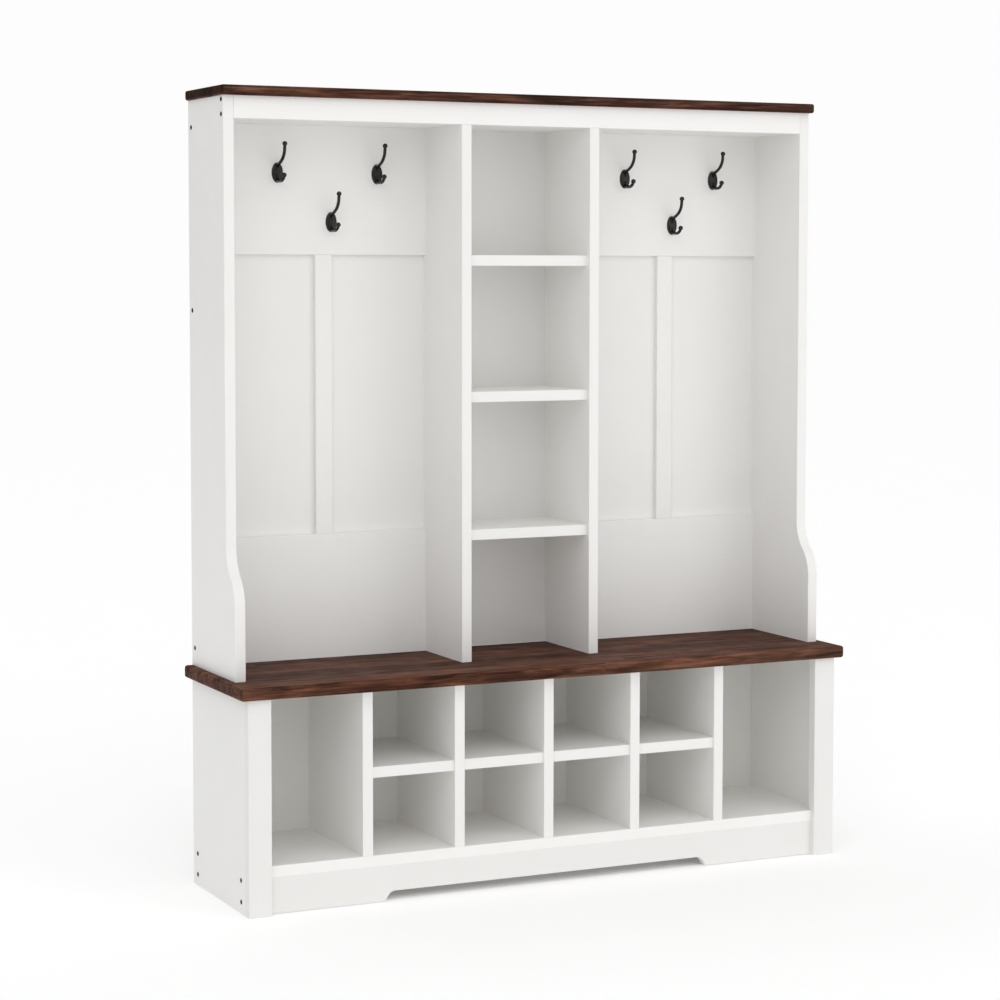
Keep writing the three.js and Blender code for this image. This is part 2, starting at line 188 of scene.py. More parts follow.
class Graph(Nodes):
    """A material's node tree, round one Principled shader."""

    def __init__(self, name: str) -> None:
        """Starts a material.

        Args:
            name: The material's name.
        """
        self.material = bpy.data.materials.new(name)
        super().__init__(self.material)
        self.shader = self.add("ShaderNodeBsdfPrincipled")
        self.add("ShaderNodeOutputMaterial", {"Surface": self.shader.outputs[0]})

    def dress(self, inputs: dict[str, object]) -> None:
        """Feeds the shader's inputs, by name."""
        for name, value in inputs.items():
            self.feed(self.shader.inputs[name], value)

    def space(self) -> bpy.types.NodeSocket:
        """The point's place in its timber."""
        return self.add("ShaderNodeAttribute", attribute_name=SPACE).outputs["Vector"]

    def mark(self, name: str) -> bpy.types.NodeSocket:
        """A mark that the mesh carries, from 0 to 1."""
        return self.add("ShaderNodeAttribute", attribute_name=name).outputs["Fac"]

    def streaked(self, vector: bpy.types.NodeSocket, cells: Triple, detail: float,
                 roughness: float = 0.5, distortion: float = 0.0) -> bpy.types.NodeSocket:
        """Smooth random values with their own number of cells in each metre, on each axis."""
        stretched = self.add("ShaderNodeVectorMath", {0: vector, 1: cells}, operation="MULTIPLY")
        return self.noise(stretched.outputs[0], 1.0, detail, roughness, distortion)

    def noise(self, vector: bpy.types.NodeSocket, scale: float, detail: float = 2.0,
              roughness: float = 0.5, distortion: float = 0.0) -> bpy.types.NodeSocket:
        """Smooth random values.

        Args:
            vector: Where to read the noise.
            scale: Its cells in each metre.
            detail: How many finer layers it has.
            roughness: How strong the finer layers are.
            distortion: How far it swirls.

        Returns:
            The noise, around 0.5.
        """
        inputs = {"Vector": vector, "Scale": scale, "Detail": detail,
                  "Roughness": roughness, "Distortion": distortion}
        return self.add("ShaderNodeTexNoise", inputs).outputs[0]

    def fit(self, value: bpy.types.NodeSocket, source: Span, target: Span) -> bpy.types.NodeSocket:
        """Carries a value from one range to another, and stops at its ends.

        Args:
            value: The value to carry.
            source: The range that it comes from.
            target: The range that it goes to.

        Returns:
            The carried value.
        """
        inputs = {0: value, 1: source[0], 2: source[1], 3: target[0], 4: target[1]}
        return self.add("ShaderNodeMapRange", inputs, clamp=True).outputs[0]

    def mix(self, factor: object, low: object, high: object,
            blend: str = "MIX") -> bpy.types.NodeSocket:
        """Mixes two colours.

        Args:
            factor: How much of the second colour.
            low: The first colour.
            high: The second colour.
            blend: How the second goes over the first.

        Returns:
            The mixed colour.
        """
        node = self.add("ShaderNodeMix", {0: factor, 6: low, 7: high},
                        data_type="RGBA", blend_type=blend)
        return node.outputs[2]

    def ramp(self, factor: bpy.types.NodeSocket, stops: Sequence) -> bpy.types.NodeSocket:
        """A colour ramp.

        Args:
            factor: Where to read the ramp.
            stops: Pairs of a place and a colour.

        Returns:
            The ramp's colour.
        """
        node = self.add("ShaderNodeValToRGB", {0: factor})
        elements = node.color_ramp.elements
        while len(elements) < len(stops):
            elements.new(0.5)
        for element, (place, colour) in zip(elements, stops):
            element.position = place
            element.color = colour
        return node.outputs[0]

    def relief(self, layers: Iterable[tuple[bpy.types.NodeSocket, float]]) -> None:
        """Gives the surface relief.

        Args:
            layers: Pairs of a height from 0 to 1 and its depth in metres, the coarsest first.
        """
        normal = None
        for height, depth in layers:
            inputs = {"Height": height, "Distance": depth, "Strength": 1.0}
            if normal is not None:
                inputs["Normal"] = normal
            normal = self.add("ShaderNodeBump", inputs).outputs[0]
        self.dress({"Normal": normal})


def shaded(colour: Colour, shade: float) -> Colour:
    """The colour made lighter or darker by a factor."""
    return (*(shade * part for part in colour[:3]), 1.0)


@dataclass(frozen=True)
class PaintFinish:
    """Satin white paint, sprayed over sanded board with a faint grain left in it."""

    name: str
    colour: Colour = (0.845, 0.838, 0.822, 1.0)
    thin: Colour = (0.80, 0.79, 0.765, 1.0)
    # Above 1 the white is painted light, below 1 painted shade.
    shade: float = 1.0
    roughness: Span = (0.40, 0.52)
    grain_cells: Triple = (5.0, 110.0, 110.0)
    spray_cells: float = 620.0
    grain_depth: float = 0.00006
    spray_depth: float = 0.00003

    def material(self) -> bpy.types.Material:
        """Builds the finish: mottled white, thinner on edges, over soft grain and spray stipple."""
        graph = Graph(self.name)
        space = graph.space()
        full, thin = shaded(self.colour, self.shade), shaded(self.thin, self.shade)
        mottle = graph.noise(space, 7.0, 4.0, 0.6)
        grain = graph.streaked(space, self.grain_cells, 3.0, 0.6, 0.3)
        spray = graph.noise(space, self.spray_cells, 2.0, 0.55)
        rubbed = graph.maths("MULTIPLY", graph.mark(EASED),
                             graph.fit(mottle, (0.35, 0.7), (0.1, 0.7)))
        faded = graph.mix(graph.fit(mottle, MOST_NOISE, (0.0, 0.3)), full, thin)
        lined = graph.mix(graph.fit(grain, (0.55, 0.8), (0.0, 0.25)), faded, thin)
        sheen = graph.fit(graph.noise(space, 34.0, 3.0), MOST_NOISE, self.roughness)
        graph.dress({"Base Color": graph.mix(rubbed, lined, thin), "Roughness": sheen})
        graph.relief([(grain, self.grain_depth), (spray, self.spray_depth)])
        return graph.material


@dataclass(frozen=True)
class WalnutFinish:
    """Dark stained walnut, glued up from staves, with a dull satin seal."""

    name: str
    shade: float = 0.86
    stave_width: float = 0.058
    stave_length: float = 1.9
    darkest: Colour = (0.013, 0.0052, 0.0034, 1.0)
    dark: Colour = (0.046, 0.0182, 0.0112, 1.0)
    middle: Colour = (0.114, 0.0455, 0.0268, 1.0)
    light: Colour = (0.270, 0.108, 0.062, 1.0)
    cool: Colour = (0.84, 0.98, 1.06, 1.0)
    # Multiplies the colour on the eased edges: above 1, as on the bench, it is a painted highlight
    # along the rounded edges; the top board takes a value below 1, which darkens its edges.
    edge: Colour = (1.30, 1.22, 1.16, 1.0)
    end: Colour = (0.80, 0.76, 0.72, 1.0)
    primer: Colour = (0.58, 0.57, 0.54, 1.0)
    figure_cells: Triple = (6.0, 60.0, 60.0)
    streak_cells: Triple = (7.0, 210.0, 210.0)
    pore_cells: Triple = (26.0, 900.0, 900.0)
    hue_cells: Triple = (3.0, 34.0, 34.0)
    figure_weight: float = 0.62
    streak_weight: float = 0.42
    stave_weight: float = 0.12
    level_span: Span = (0.38, 0.78)
    roughness: Span = (0.50, 0.64)
    gloss: float = 0.05
    pore_depth: float = 0.00012
    seam_width: float = 0.012
    seam_strength: float = 0.30
    stave_jump: float = 9.0

    def material(self) -> bpy.types.Material:
        """Builds the finish: streaked staves with pores, darker ends, a tint on the eased edges that
        is a painted highlight on the bench, and the primer.
        """
        graph = Graph(self.name)
        space = graph.space()
        tone, seam = self._staves(graph, space)
        moved = graph.add("ShaderNodeVectorMath", {0: space, 1: self._jump(graph, tone)},
                          operation="ADD").outputs[0]
        figure = graph.streaked(moved, self.figure_cells, 4.0, 0.6, 0.8)
        streaks = graph.streaked(moved, self.streak_cells, 4.0, 0.65, 0.5)
        pores = graph.streaked(moved, self.pore_cells, 2.0)
        hue = graph.streaked(moved, self.hue_cells, 3.0, 0.6, 0.5)
        level = graph.maths("MULTIPLY_ADD", figure, self.figure_weight,
                            graph.maths("MULTIPLY", tone, self.stave_weight))
        level = graph.maths("MULTIPLY_ADD", streaks, self.streak_weight, level)
        stains = ((0.0, self.darkest), (0.28, self.dark), (0.58, self.middle), (1.0, self.light))
        colour = graph.ramp(graph.fit(level, self.level_span, UNIT),
                            [(place, shaded(tint, self.shade)) for place, tint in stains])
        cooled = graph.mix(graph.fit(hue, (0.42, 0.62), UNIT), colour, self.cool, "MULTIPLY")
        pored = graph.mix(graph.fit(pores, (0.58, 0.72), (0.0, 0.45)), cooled, self.darkest)
        seamed = graph.mix(seam, pored, self.darkest)
        # Painted highlight on the bench's eased edges; on the top board the same mask darkens them.
        edge_highlight_and_tone_mask = graph.maths("MULTIPLY", graph.mark(EASED), graph.fit(figure, MOST_NOISE, (0.4, 1.0)))
        edged = graph.mix(edge_highlight_and_tone_mask, seamed, self.edge, "MULTIPLY")
        cut = graph.mix(graph.mark(END_GRAIN), edged, self.end, "MULTIPLY")
        sheen = graph.fit(graph.noise(space, 18.0, 4.0), MOST_NOISE, self.roughness)
        graph.dress({"Base Color": graph.mix(graph.mark(PRIMED), cut, self.primer),
                     "Roughness": sheen, "Specular IOR Level": self.gloss})
        graph.relief([(streaks, self.pore_depth), (pores, self.pore_depth / 2)])
        return graph.material

    def _staves(self, graph: Graph, space: bpy.types.NodeSocket) -> tuple:
        """Divides the board into staves.

        Args:
            graph: The material's nodes.
            space: The point's place in its timber.

        Returns:
            A random tone for each stave, and a thin line along its glued edges.
        """
        parts = graph.add("ShaderNodeSeparateXYZ", {0: space}).outputs
        across = graph.maths("DIVIDE", parts["Y"], self.stave_width)
        row = graph.maths("FLOOR", across)
        shift = graph.add("ShaderNodeTexWhiteNoise", {"W": row}, noise_dimensions="1D").outputs[0]
        along = graph.maths("DIVIDE", parts["X"], self.stave_length)
        cell = graph.maths("FLOOR", graph.maths("MULTIPLY_ADD", shift, 7.0, along))
        stave = graph.add("ShaderNodeCombineXYZ", {"X": row, "Y": cell}).outputs[0]
        tone = graph.add("ShaderNodeTexWhiteNoise", {"Vector": stave}, noise_dimensions="2D")
        distance = graph.maths("PINGPONG", across, 0.5)
        seam = graph.fit(distance, (0.0, self.seam_width), (self.seam_strength, 0.0))
        return tone.outputs[0], seam

    def _jump(self, graph: Graph, tone: bpy.types.NodeSocket) -> bpy.types.NodeSocket:
        """How far each stave's figure lies from its neighbour's."""
        far = graph.maths("MULTIPLY", tone, self.stave_jump)
        return graph.add("ShaderNodeCombineXYZ", dict.fromkeys("XYZ", far)).outputs[0]


@dataclass(frozen=True)
class IronFinish:
    """Satin black coating over a casting or a screw, rubbed a little on its high places."""

    name: str
    colour: Colour = (0.0125, 0.0118, 0.0110, 1.0)
    rubbed: Colour = (0.075, 0.070, 0.065, 1.0)
    metallic: float = 0.45
    roughness: Span = (0.36, 0.22)
    grit: float = 1500.0
    grit_depth: float = 0.00004

    def material(self) -> bpy.types.Material:
        """Builds the finish: black with grit, and a greyer sheen where hands and coats rub."""
        graph = Graph(self.name)
        space = graph.space()
        cloud = graph.noise(space, 90.0, 4.0, 0.6)
        grit = graph.noise(space, self.grit, 2.0, 0.6)
        high = graph.add("ShaderNodeNewGeometry").outputs["Pointiness"]
        rub = graph.maths("MULTIPLY", graph.fit(high, (0.52, 0.62), UNIT),
                          graph.fit(cloud, (0.35, 0.65), (0.2, 0.9)))
        graph.dress({"Base Color": graph.mix(rub, self.colour, self.rubbed),
                     "Roughness": graph.fit(cloud, MOST_NOISE, self.roughness),
                     "Metallic": self.metallic})
        graph.relief([(grit, self.grit_depth)])
        return graph.material


@dataclass(frozen=True)
class FloorFinish:
    """Seamless pale studio floor, with a weak glow of its own that keeps it close to white."""

    name: str
    colour: Colour = (0.93, 0.93, 0.93, 1.0)
    mottled: float = 0.97
    glow: Span = (0.150, 0.212)
    glow_span: Span = (-0.6, 0.4)
    under: float = 0.30
    fade: float = 0.03

    def material(self) -> bpy.types.Material:
        """Builds the finish: matt near-white paper with a faint mottle."""
        graph = Graph(self.name)
        place = graph.add("ShaderNodeTexCoord").outputs["Object"]
        mottle = graph.fit(graph.noise(place, 3.0, 3.0), MOST_NOISE, (0.0, 0.25))
        colour = graph.mix(mottle, self.colour, shaded(self.colour, self.mottled))
        graph.dress({"Base Color": colour, "Roughness": 0.9, "Specular IOR Level": 0.1,
                     "Emission Color": WHITE, "Emission Strength": self._lit(graph, place)})
        return graph.material

    def _lit(self, graph: Graph, place: bpy.types.NodeSocket) -> bpy.types.NodeSocket:
        """The floor's own glow, which grows from front to rear and is weaker under the base."""
        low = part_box("base_side_left")[0]
        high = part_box("base_side_right")[1]
        parts = graph.add("ShaderNodeSeparateXYZ", {0: place}).outputs
        beyond: object = self.under
        for part, start, end in (("X", low.x, high.x), ("Y", low.y, high.y)):
            before = graph.fit(parts[part], (start, start + self.fade), (1.0, 0.0))
            after = graph.fit(parts[part], (end - self.fade, end), UNIT)
            outside = graph.maths("MAXIMUM", before, after)
            beyond = graph.maths("MAXIMUM", outside, beyond)
        return graph.maths("MULTIPLY", beyond, graph.fit(parts["Y"], self.glow_span, self.glow))


# ---- Shaping -------------------------------------------------------------------------------


def arc(centre: tuple[float, float], radius: float, start: float, sweep: float,
        steps: int) -> Outline:
    """Points along an arc, both ends included.

    Args:
        centre: The arc's centre.
        radius: Its radius.
        start: The angle of its first point, in radians.
        sweep: The angle that it turns through, anticlockwise if positive.
        steps: How many straight pieces stand for it.

    Returns:
        The arc's points.
    """
    turns = (start + sweep * step / steps for step in range(steps + 1))
    return [(centre[0] + radius * math.cos(turn), centre[1] + radius * math.sin(turn))
            for turn in turns]


def rectangle(a0: float, a1: float, b0: float, b1: float) -> Outline:
    """The four corners of a rectangle."""
    return [(a0, b0), (a1, b0), (a1, b1), (a0, b1)]


def rounded_rectangle(a0: float, a1: float, b0: float, b1: float, radius: float,
                      steps: int) -> Outline:
    """A rectangle with round corners.

    Args:
        a0: Its low limit on the first axis.
        a1: Its high limit on the first axis.
        b0: Its low limit on the second axis.
        b1: Its high limit on the second axis.
        radius: The corners' radius.
        steps: How many straight pieces each corner has.

    Returns:
        Its points, anticlockwise.
    """
    corners = [
        (a1 - radius, b0 + radius),
        (a1 - radius, b1 - radius),
        (a0 + radius, b1 - radius),
        (a0 + radius, b0 + radius),
    ]
    points: Outline = []
    for number, centre in enumerate(corners):
        points += arc(centre, radius, (number - 1) * math.pi / 2, math.pi / 2, steps)
    return points


def carried(outline: Outline, along: Axis, start: float, end: float) -> bmesh.types.BMesh:
    """A closed body: an outline carried along an axis.

    Args:
        outline: The points on the other two axes, in their order.
        along: The axis that it is carried along.
        start: Where it starts on that axis.
        end: Where it ends.

    Returns:
        The body, with its faces pointing out.
    """
    body = bmesh.new()
    rings = []
    for level in (start, end):
        ring = []
        for point in outline:
            place = list(point)
            place.insert(along.value, level)
            ring.append(body.verts.new(place))
        body.faces.new(ring)
        rings.append(ring)
    for here, there in zip(range(len(outline)), [*range(1, len(outline)), 0]):
        body.faces.new((rings[0][here], rings[0][there], rings[1][there], rings[1][here]))
    bmesh.ops.recalc_face_normals(body, faces=body.faces)
    return body


def turned(profile: Outline, segments: int) -> bmesh.types.BMesh:
    """A turned body round Z, its profile starting and ending on the axis.

    Args:
        profile: Pairs of a radius and a height.
        segments: How many sides it has.

    Returns:
        The body, with its faces pointing out.
    """
    body = bmesh.new()
    rings: list[list[bmesh.types.BMVert]] = []
    for radius, height in profile:
        count = segments if radius > 0 else 1
        rings.append([
            body.verts.new((radius * math.cos(2 * math.pi * step / segments),
                            radius * math.sin(2 * math.pi * step / segments), height))
            for step in range(count)])
    skin(body, rings, segments)
    return body


def skin(body: bmesh.types.BMesh, rings: list[list[bmesh.types.BMVert]], segments: int) -> None:
    """Joins each ring of points to the next; a ring of one point is a pole.

    Args:
        body: The body that the rings are in.
        rings: The rings, in order.
        segments: How many points a full ring has.
    """
    for low, high in zip(rings, rings[1:]):
        for step in range(segments):
            after = (step + 1) % segments
            corners = [low[step % len(low)], low[after % len(low)],
                       high[after % len(high)], high[step % len(high)]]
            body.faces.new(list(dict.fromkeys(corners)))
    bmesh.ops.recalc_face_normals(body, faces=body.faces)


def ease_edges(body: bmesh.types.BMesh, radius: float, segments: int,
               butted: Iterable[Face]) -> None:
    """Rounds the outside corners of a board, except along its butted faces.

    Args:
        body: The board, which changes.
        radius: How far the rounding reaches.
        segments: How many facets it has.
        butted: The faces that lie against other boards.
    """
    marks = body.faces.layers.float.new(EASED)
    hidden = [Vector(face.value) for face in butted]

    def exposed(edge: bmesh.types.BMEdge) -> bool:
        """Whether an edge is an outside corner that shows."""
        if edge.calc_face_angle_signed(0.0) < SHARP_ANGLE:
            return False
        normals = [face.normal for face in edge.link_faces]
        return not any(normal.dot(way) > SQUARE_ON for normal in normals for way in hidden)

    body.normal_update()
    corners = [edge for edge in body.edges if exposed(edge)]
    eased = bmesh.ops.bevel(body, geom=corners, offset=radius, offset_type="OFFSET",
                            segments=segments, profile=0.5, affect="EDGES", clamp_overlap=True)
    for face in eased["faces"]:
        face[marks] = 1.0


def combined(first: bmesh.types.BMesh, second: bmesh.types.BMesh,
             operation: str) -> bmesh.types.BMesh:
    """Joins two bodies, or cuts the second from the first; both are used up.

    Args:
        first: The body that is kept.
        second: The body that is added or taken away.
        operation: UNION or DIFFERENCE.

    Returns:
        One closed body.
    """
    objects = []
    for body in (first, second):
        mesh = bpy.data.meshes.new("shaping")
        body.to_mesh(mesh)
        body.free()
        thing = bpy.data.objects.new("shaping", mesh)
        bpy.context.scene.collection.objects.link(thing)
        objects.append(thing)
    kept, tool = objects
    step = kept.modifiers.new("shape", "BOOLEAN")
    step.operation = operation
    step.solver = "EXACT"
    step.object = tool
    result = bmesh.new()
    result.from_object(kept, bpy.context.evaluated_depsgraph_get())
    for thing in objects:
        mesh = thing.data
        bpy.data.objects.remove(thing)
        bpy.data.meshes.remove(mesh)
    bmesh.ops.remove_doubles(result, verts=result.verts, dist=MERGE_DISTANCE)
    return result


def turn(body: bmesh.types.BMesh, matrix: Matrix) -> bmesh.types.BMesh:
    """Moves a whole body by a matrix."""
    bmesh.ops.transform(body, matrix=matrix, verts=body.verts)
    return body


# ---- Workshop ------------------------------------------------------------------------------


@dataclass
class Workshop:
    """Turns shaped bodies into dressed pieces, and fits them to the frame."""

    coats: dict[Coat, bpy.types.Material]
    board_radius: float = 0.0016
    board_segments: int = 3
    fitted: list[str] = field(default_factory=list)

    def finish(self, body: bmesh.types.BMesh, name: str, coat: Coat, grain: Axis = Axis.X,
               node: str | None = None) -> None:
        """Makes a piece from a body and fits it.

        Args:
            body: The shaped body, which is used up.
            name: The piece's name.
            coat: The coat that it takes.
            grain: The direction that its grain runs in.
            node: The node that it stands for, if it has one.
        """
        body.normal_update()
        for face in body.faces:
            face.smooth = True
        for edge in body.edges:
            edge.smooth = edge.calc_face_angle(0.0) < SHARP_ANGLE
        mesh = bpy.data.meshes.new(name)
        body.to_mesh(mesh)
        body.free()
        self.lay_out(mesh, name, grain)
        mesh.materials.append(self.coats[coat])
        piece = bpy.data.objects.new(name, mesh)
        bpy.context.scene.collection.objects.link(piece)
        piece.modifiers.new("flat_faces_stay_flat", "WEIGHTED_NORMAL").keep_sharp = True
        self.fit(piece, coat, node)

    @staticmethod
    def lay_out(mesh: bpy.types.Mesh, name: str, grain: Axis) -> None:
        """Stores where each vertex lies in the piece's timber, and which faces cut its grain.

        Args:
            mesh: The piece's mesh, which gets both layers.
            name: The piece's name, which settles where its timber comes from.
            grain: The direction that its grain runs in.
        """
        chance = random.Random(name)
        offsets = [chance.uniform(-TIMBER_SPREAD, TIMBER_SPREAD) for _ in Axis]
        order = [grain.value, *(axis.value for axis in Axis if axis is not grain)]
        layer = mesh.attributes.new(SPACE, "FLOAT_VECTOR", "POINT")
        for vertex, entry in zip(mesh.vertices, layer.data):
            entry.vector = [vertex.co[axis] + offset for axis, offset in zip(order, offsets)]
        cuts = mesh.attributes.new(END_GRAIN, "FLOAT", "FACE")
        for face, entry in zip(mesh.polygons, cuts.data):
            entry.value = face.normal[grain.value] ** 2

    def fit(self, piece: bpy.types.Object, coat: Coat, node: str | None) -> None:
        """Fits a piece to the frame's body.

        Args:
            piece: The piece.
            coat: Not used.
            node: The node that it stands for, if it has one.
        """
        if node is not None:
            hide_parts(node)
        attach(piece, BODY)
        self.fitted.append(piece.name)

    def board(self, node: str, grain: Axis, butted: Iterable[Face] = (),
              coat: Coat = Coat.BOARD) -> None:
        """Makes a plain board as large as its node, with eased edges.

        Args:
            node: The node that it stands for.
            grain: The direction that its grain runs in.
            butted: Its faces that lie against other boards.
            coat: The coat that it takes.
        """
        low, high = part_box(node)
        self.shaped_board(node, rectangle(low.y, high.y, low.z, high.z), Axis.X, grain, butted,
                          coat)

    def shaped_board(self, node: str, outline: Outline, along: Axis, grain: Axis,
                     butted: Iterable[Face] = (), coat: Coat = Coat.BOARD) -> None:
        """Makes a board with an outline of its own, as long as its node.

        Args:
            node: The node that it stands for.
            outline: Its outline on the other two axes.
            along: The axis that the outline is carried along.
            grain: The direction that its grain runs in.
            butted: Its faces that lie against other boards.
            coat: The coat that it takes.
        """
        low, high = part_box(node)
        body = carried(outline, along, low[along.value], high[along.value])
        ease_edges(body, self.board_radius, self.board_segments, butted)
        self.finish(body, f"finished_{node}", coat, grain, node)


# ---- Base ----------------------------------------------------------------------------------


@dataclass
class StorageBase:
    """The base: sides and stiles, an arched apron, dividers, shelves, rails and a back."""

    workshop: Workshop
    groove_depth: float = 0.006
    groove_clearance: float = 0.00025
    arch_centre: float = -0.009
    arch_width: float = 0.830
    arch_height: float = 0.024
    arch_flare: float = 0.016
    arch_radius: float = 0.022
    curve_steps: int = 12
    divider_count: int = 5

    def build(self) -> None:
        """Makes every board of the base."""
        for side in Side:
            self.side(side)
            self.workshop.board(f"base_stile_{side.word}", Axis.Z, [Face.REAR, Face.TOP],
                                Coat.SOFT_BOARD)
        self.bottom()
        self.apron()
        for rail in ("plinth_rail_front", "plinth_rail_rear"):
            self.workshop.board(rail, Axis.X, [Face.LEFT, Face.RIGHT, Face.TOP])
        for number in range(1, self.divider_count + 1):
            self.workshop.board(f"base_divider_{number}", Axis.Z,
                                [Face.TOP, Face.UNDER, Face.REAR])
        for number in range(1, self.divider_count):
            self.workshop.board(f"cubby_shelf_{number}", Axis.X,
                                [Face.LEFT, Face.RIGHT, Face.REAR])
        self.workshop.board("base_back_panel", Axis.X, list(Face), Coat.PANEL)

    def side(self, side: Side) -> None:
        """Makes one side, with the groove that holds the back panel.

        Args:
            side: Which side.
        """
        node = f"base_side_{side.word}"
        low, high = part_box(node)
        panel_low, panel_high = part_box("base_back_panel")
        outer = max(abs(low.x), abs(high.x))
        inner = min(abs(low.x), abs(high.x))
        groove = inner + self.groove_depth
        groove_front = panel_low.y - self.groove_clearance
        groove_rear = panel_high.y + self.groove_clearance
        plan = [(outer, low.y), (outer, high.y), (inner, high.y), (inner, groove_rear),
                (groove, groove_rear), (groove, groove_front), (inner, groove_front),
                (inner, low.y)]
        plan = [(side.value * x, y) for x, y in plan]
        self.workshop.shaped_board(node, plan, Axis.Z, Axis.Z, [Face.TOP, Face.FRONT])

    def bottom(self) -> None:
        """Makes the bottom panel, notched round the stiles."""
        low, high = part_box("bottom_panel")
        stile_low, stile_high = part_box("base_stile_right")
        notch, shoulder = stile_low.x, stile_high.y
        plan = [(-notch, low.y), (notch, low.y), (notch, shoulder), (high.x, shoulder),
                (high.x, high.y), (low.x, high.y), (low.x, shoulder), (-notch, shoulder)]
        self.workshop.shaped_board("bottom_panel", plan, Axis.Z, Axis.X,
                                   [Face.LEFT, Face.RIGHT, Face.UNDER], Coat.BRIGHT_BOARD)

    def apron(self) -> None:
        """Makes the apron, its foot cut away in a low arch with leaning, rounded ends."""
        low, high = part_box("apron")
        lean = self.arch_flare / self.arch_height
        easing = self.arch_radius * math.tan((math.pi / 2 - math.atan(lean)) / 2)
        drop = easing / math.hypot(1.0, lean)
        half = self.arch_width / 2
        corner = (half - self.arch_flare, self.arch_height)
        slope_end = (corner[0] + lean * drop, self.arch_height - drop)
        top_end = (corner[0] - easing, self.arch_height)
        bend = self.bend(slope_end, corner, top_end)
        right = [(half - lean * low.z, low.z), *bend]
        left = [(-x, z) for x, z in reversed(right)]
        arch = [(self.arch_centre + x, z) for x, z in right + left]
        outline = [(low.x, high.z), (high.x, high.z), (high.x, low.z), *arch, (low.x, low.z)]
        self.workshop.shaped_board("apron", outline, Axis.Y, Axis.X,
                                   [Face.LEFT, Face.RIGHT, Face.TOP], Coat.SOFT_BOARD)

    def bend(self, start: tuple[float, float], corner: tuple[float, float],
             end: tuple[float, float]) -> Outline:
        """A soft bend that leaves and meets its two lines smoothly.

        Args:
            start: Where the bend starts.
            corner: Where its two lines would cross.
            end: Where the bend ends.

        Returns:
            Its points, both ends included.
        """
        points: Outline = []
        for step in range(self.curve_steps + 1):
            t = step / self.curve_steps
            weights = ((1 - t) ** 2, 2 * t * (1 - t), t * t)
            points.append(tuple(
                sum(weight * point[axis] for weight, point in zip(weights, (start, corner, end)))
                for axis in (0, 1)))
        return points


@dataclass
class WalnutBoards:
    """The two walnut boards, with rounded edges and corners."""

    workshop: Workshop
    edge_radii: dict[str, float] = field(
        default_factory=lambda: {"bench_top": 0.006, "top_board": 0.005})
    corner_extra: float = 0.002
    edge_segments: int = 6
    corner_steps: int = 8

    def build(self) -> None:
        """Makes both boards."""
        for node, radius in self.edge_radii.items():
            low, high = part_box(node)
            plan = rounded_rectangle(low.x, high.x, low.y, high.y, radius + self.corner_extra,
                                     self.corner_steps)
            body = carried(plan, Axis.Z, low.z, high.z)
            ease_edges(body, radius, self.edge_segments, [])
            coat = Coat.DARK_ENDED_WALNUT
            if node == "bench_top":
                coat = Coat.WALNUT
                self.prime(body)
            self.workshop.finish(body, f"finished_{node}", coat, Axis.X, node)

    def prime(self, body: bmesh.types.BMesh) -> None:
        """Marks the part of the bench's underside that lies over the base.

        Args:
            body: The bench, whose underside is cut along the base's two sides and its front.
        """
        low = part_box("base_side_left")[0]
        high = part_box("base_side_right")[1]
        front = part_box("base_stile_left")[0].y
        for place, way in (((low.x, 0.0, 0.0), Face.LEFT), ((high.x, 0.0, 0.0), Face.RIGHT),
                           ((0.0, front, 0.0), Face.FRONT)):
            under = self.underside(body)
            bmesh.ops.bisect_plane(body, geom=[under, *under.edges, *under.verts],
                                   plane_co=place, plane_no=way.value)
        marks = body.faces.layers.float.new(PRIMED)
        self.underside(body)[marks] = 1.0

    def underside(self, body: bmesh.types.BMesh) -> bmesh.types.BMFace:
        """The largest face that looks down."""
        body.normal_update()
        return max((face for face in body.faces if face.normal.z < -SQUARE_ON),
                   key=lambda face: face.calc_area())


# ---- Hutch ---------------------------------------------------------------------------------


